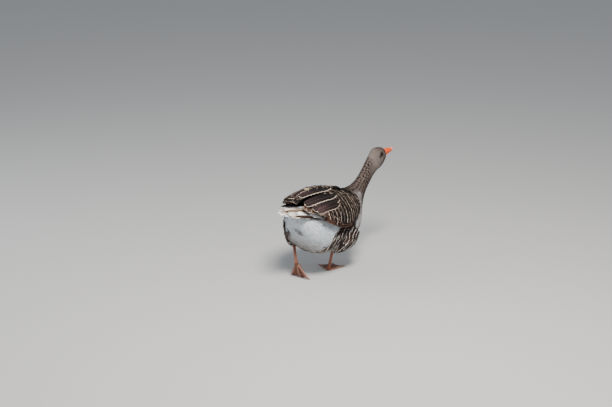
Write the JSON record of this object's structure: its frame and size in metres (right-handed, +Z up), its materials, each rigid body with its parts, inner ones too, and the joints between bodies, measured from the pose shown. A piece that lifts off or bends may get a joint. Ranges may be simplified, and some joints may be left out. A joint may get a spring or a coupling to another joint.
{
  "type": "domestic goose",
  "caption": "Life-size domestic goose of the greylag kind, brown above and white below, walking with its neck reached forward.",
  "frame": {"origin": "the floor under the middle of the bird's ground plan", "axes": "-Y is forward, the way the body walks; +X is the bird's left; +Z is up"},
  "size_m": [0.2978, 0.77, 0.5108],
  "materials": {
    "taupe_plumage": "soft grey-brown feathers of head and neck",
    "brown_plumage": "dark brown vanes with buff edges",
    "white_plumage": "loose white feathers of belly and thighs",
    "bill_horn": "orange horn, a little waxy",
    "leg_skin": "scaled pinkish orange skin",
    "eye": "wet dark eyeball"
  },
  "bodies": {
    "root": {"head": "taupe_plumage", "neck": "taupe_plumage", "trunk": "white_plumage", "bill_upper": "bill_horn", "bill_lower": "bill_horn", "eye_left": "eye", "eye_right": "eye", "tail": "brown_plumage", "wing_left": "brown_plumage", "wing_right": "brown_plumage", "primaries_left": "brown_plumage", "primaries_right": "brown_plumage", "thigh_left": "white_plumage", "thigh_right": "white_plumage", "shank_left": "leg_skin", "shank_right": "leg_skin", "foot_left": "leg_skin", "foot_right": "leg_skin", "hind_toe_left": "leg_skin", "hind_toe_right": "leg_skin"}
  },
  "joints": []
}
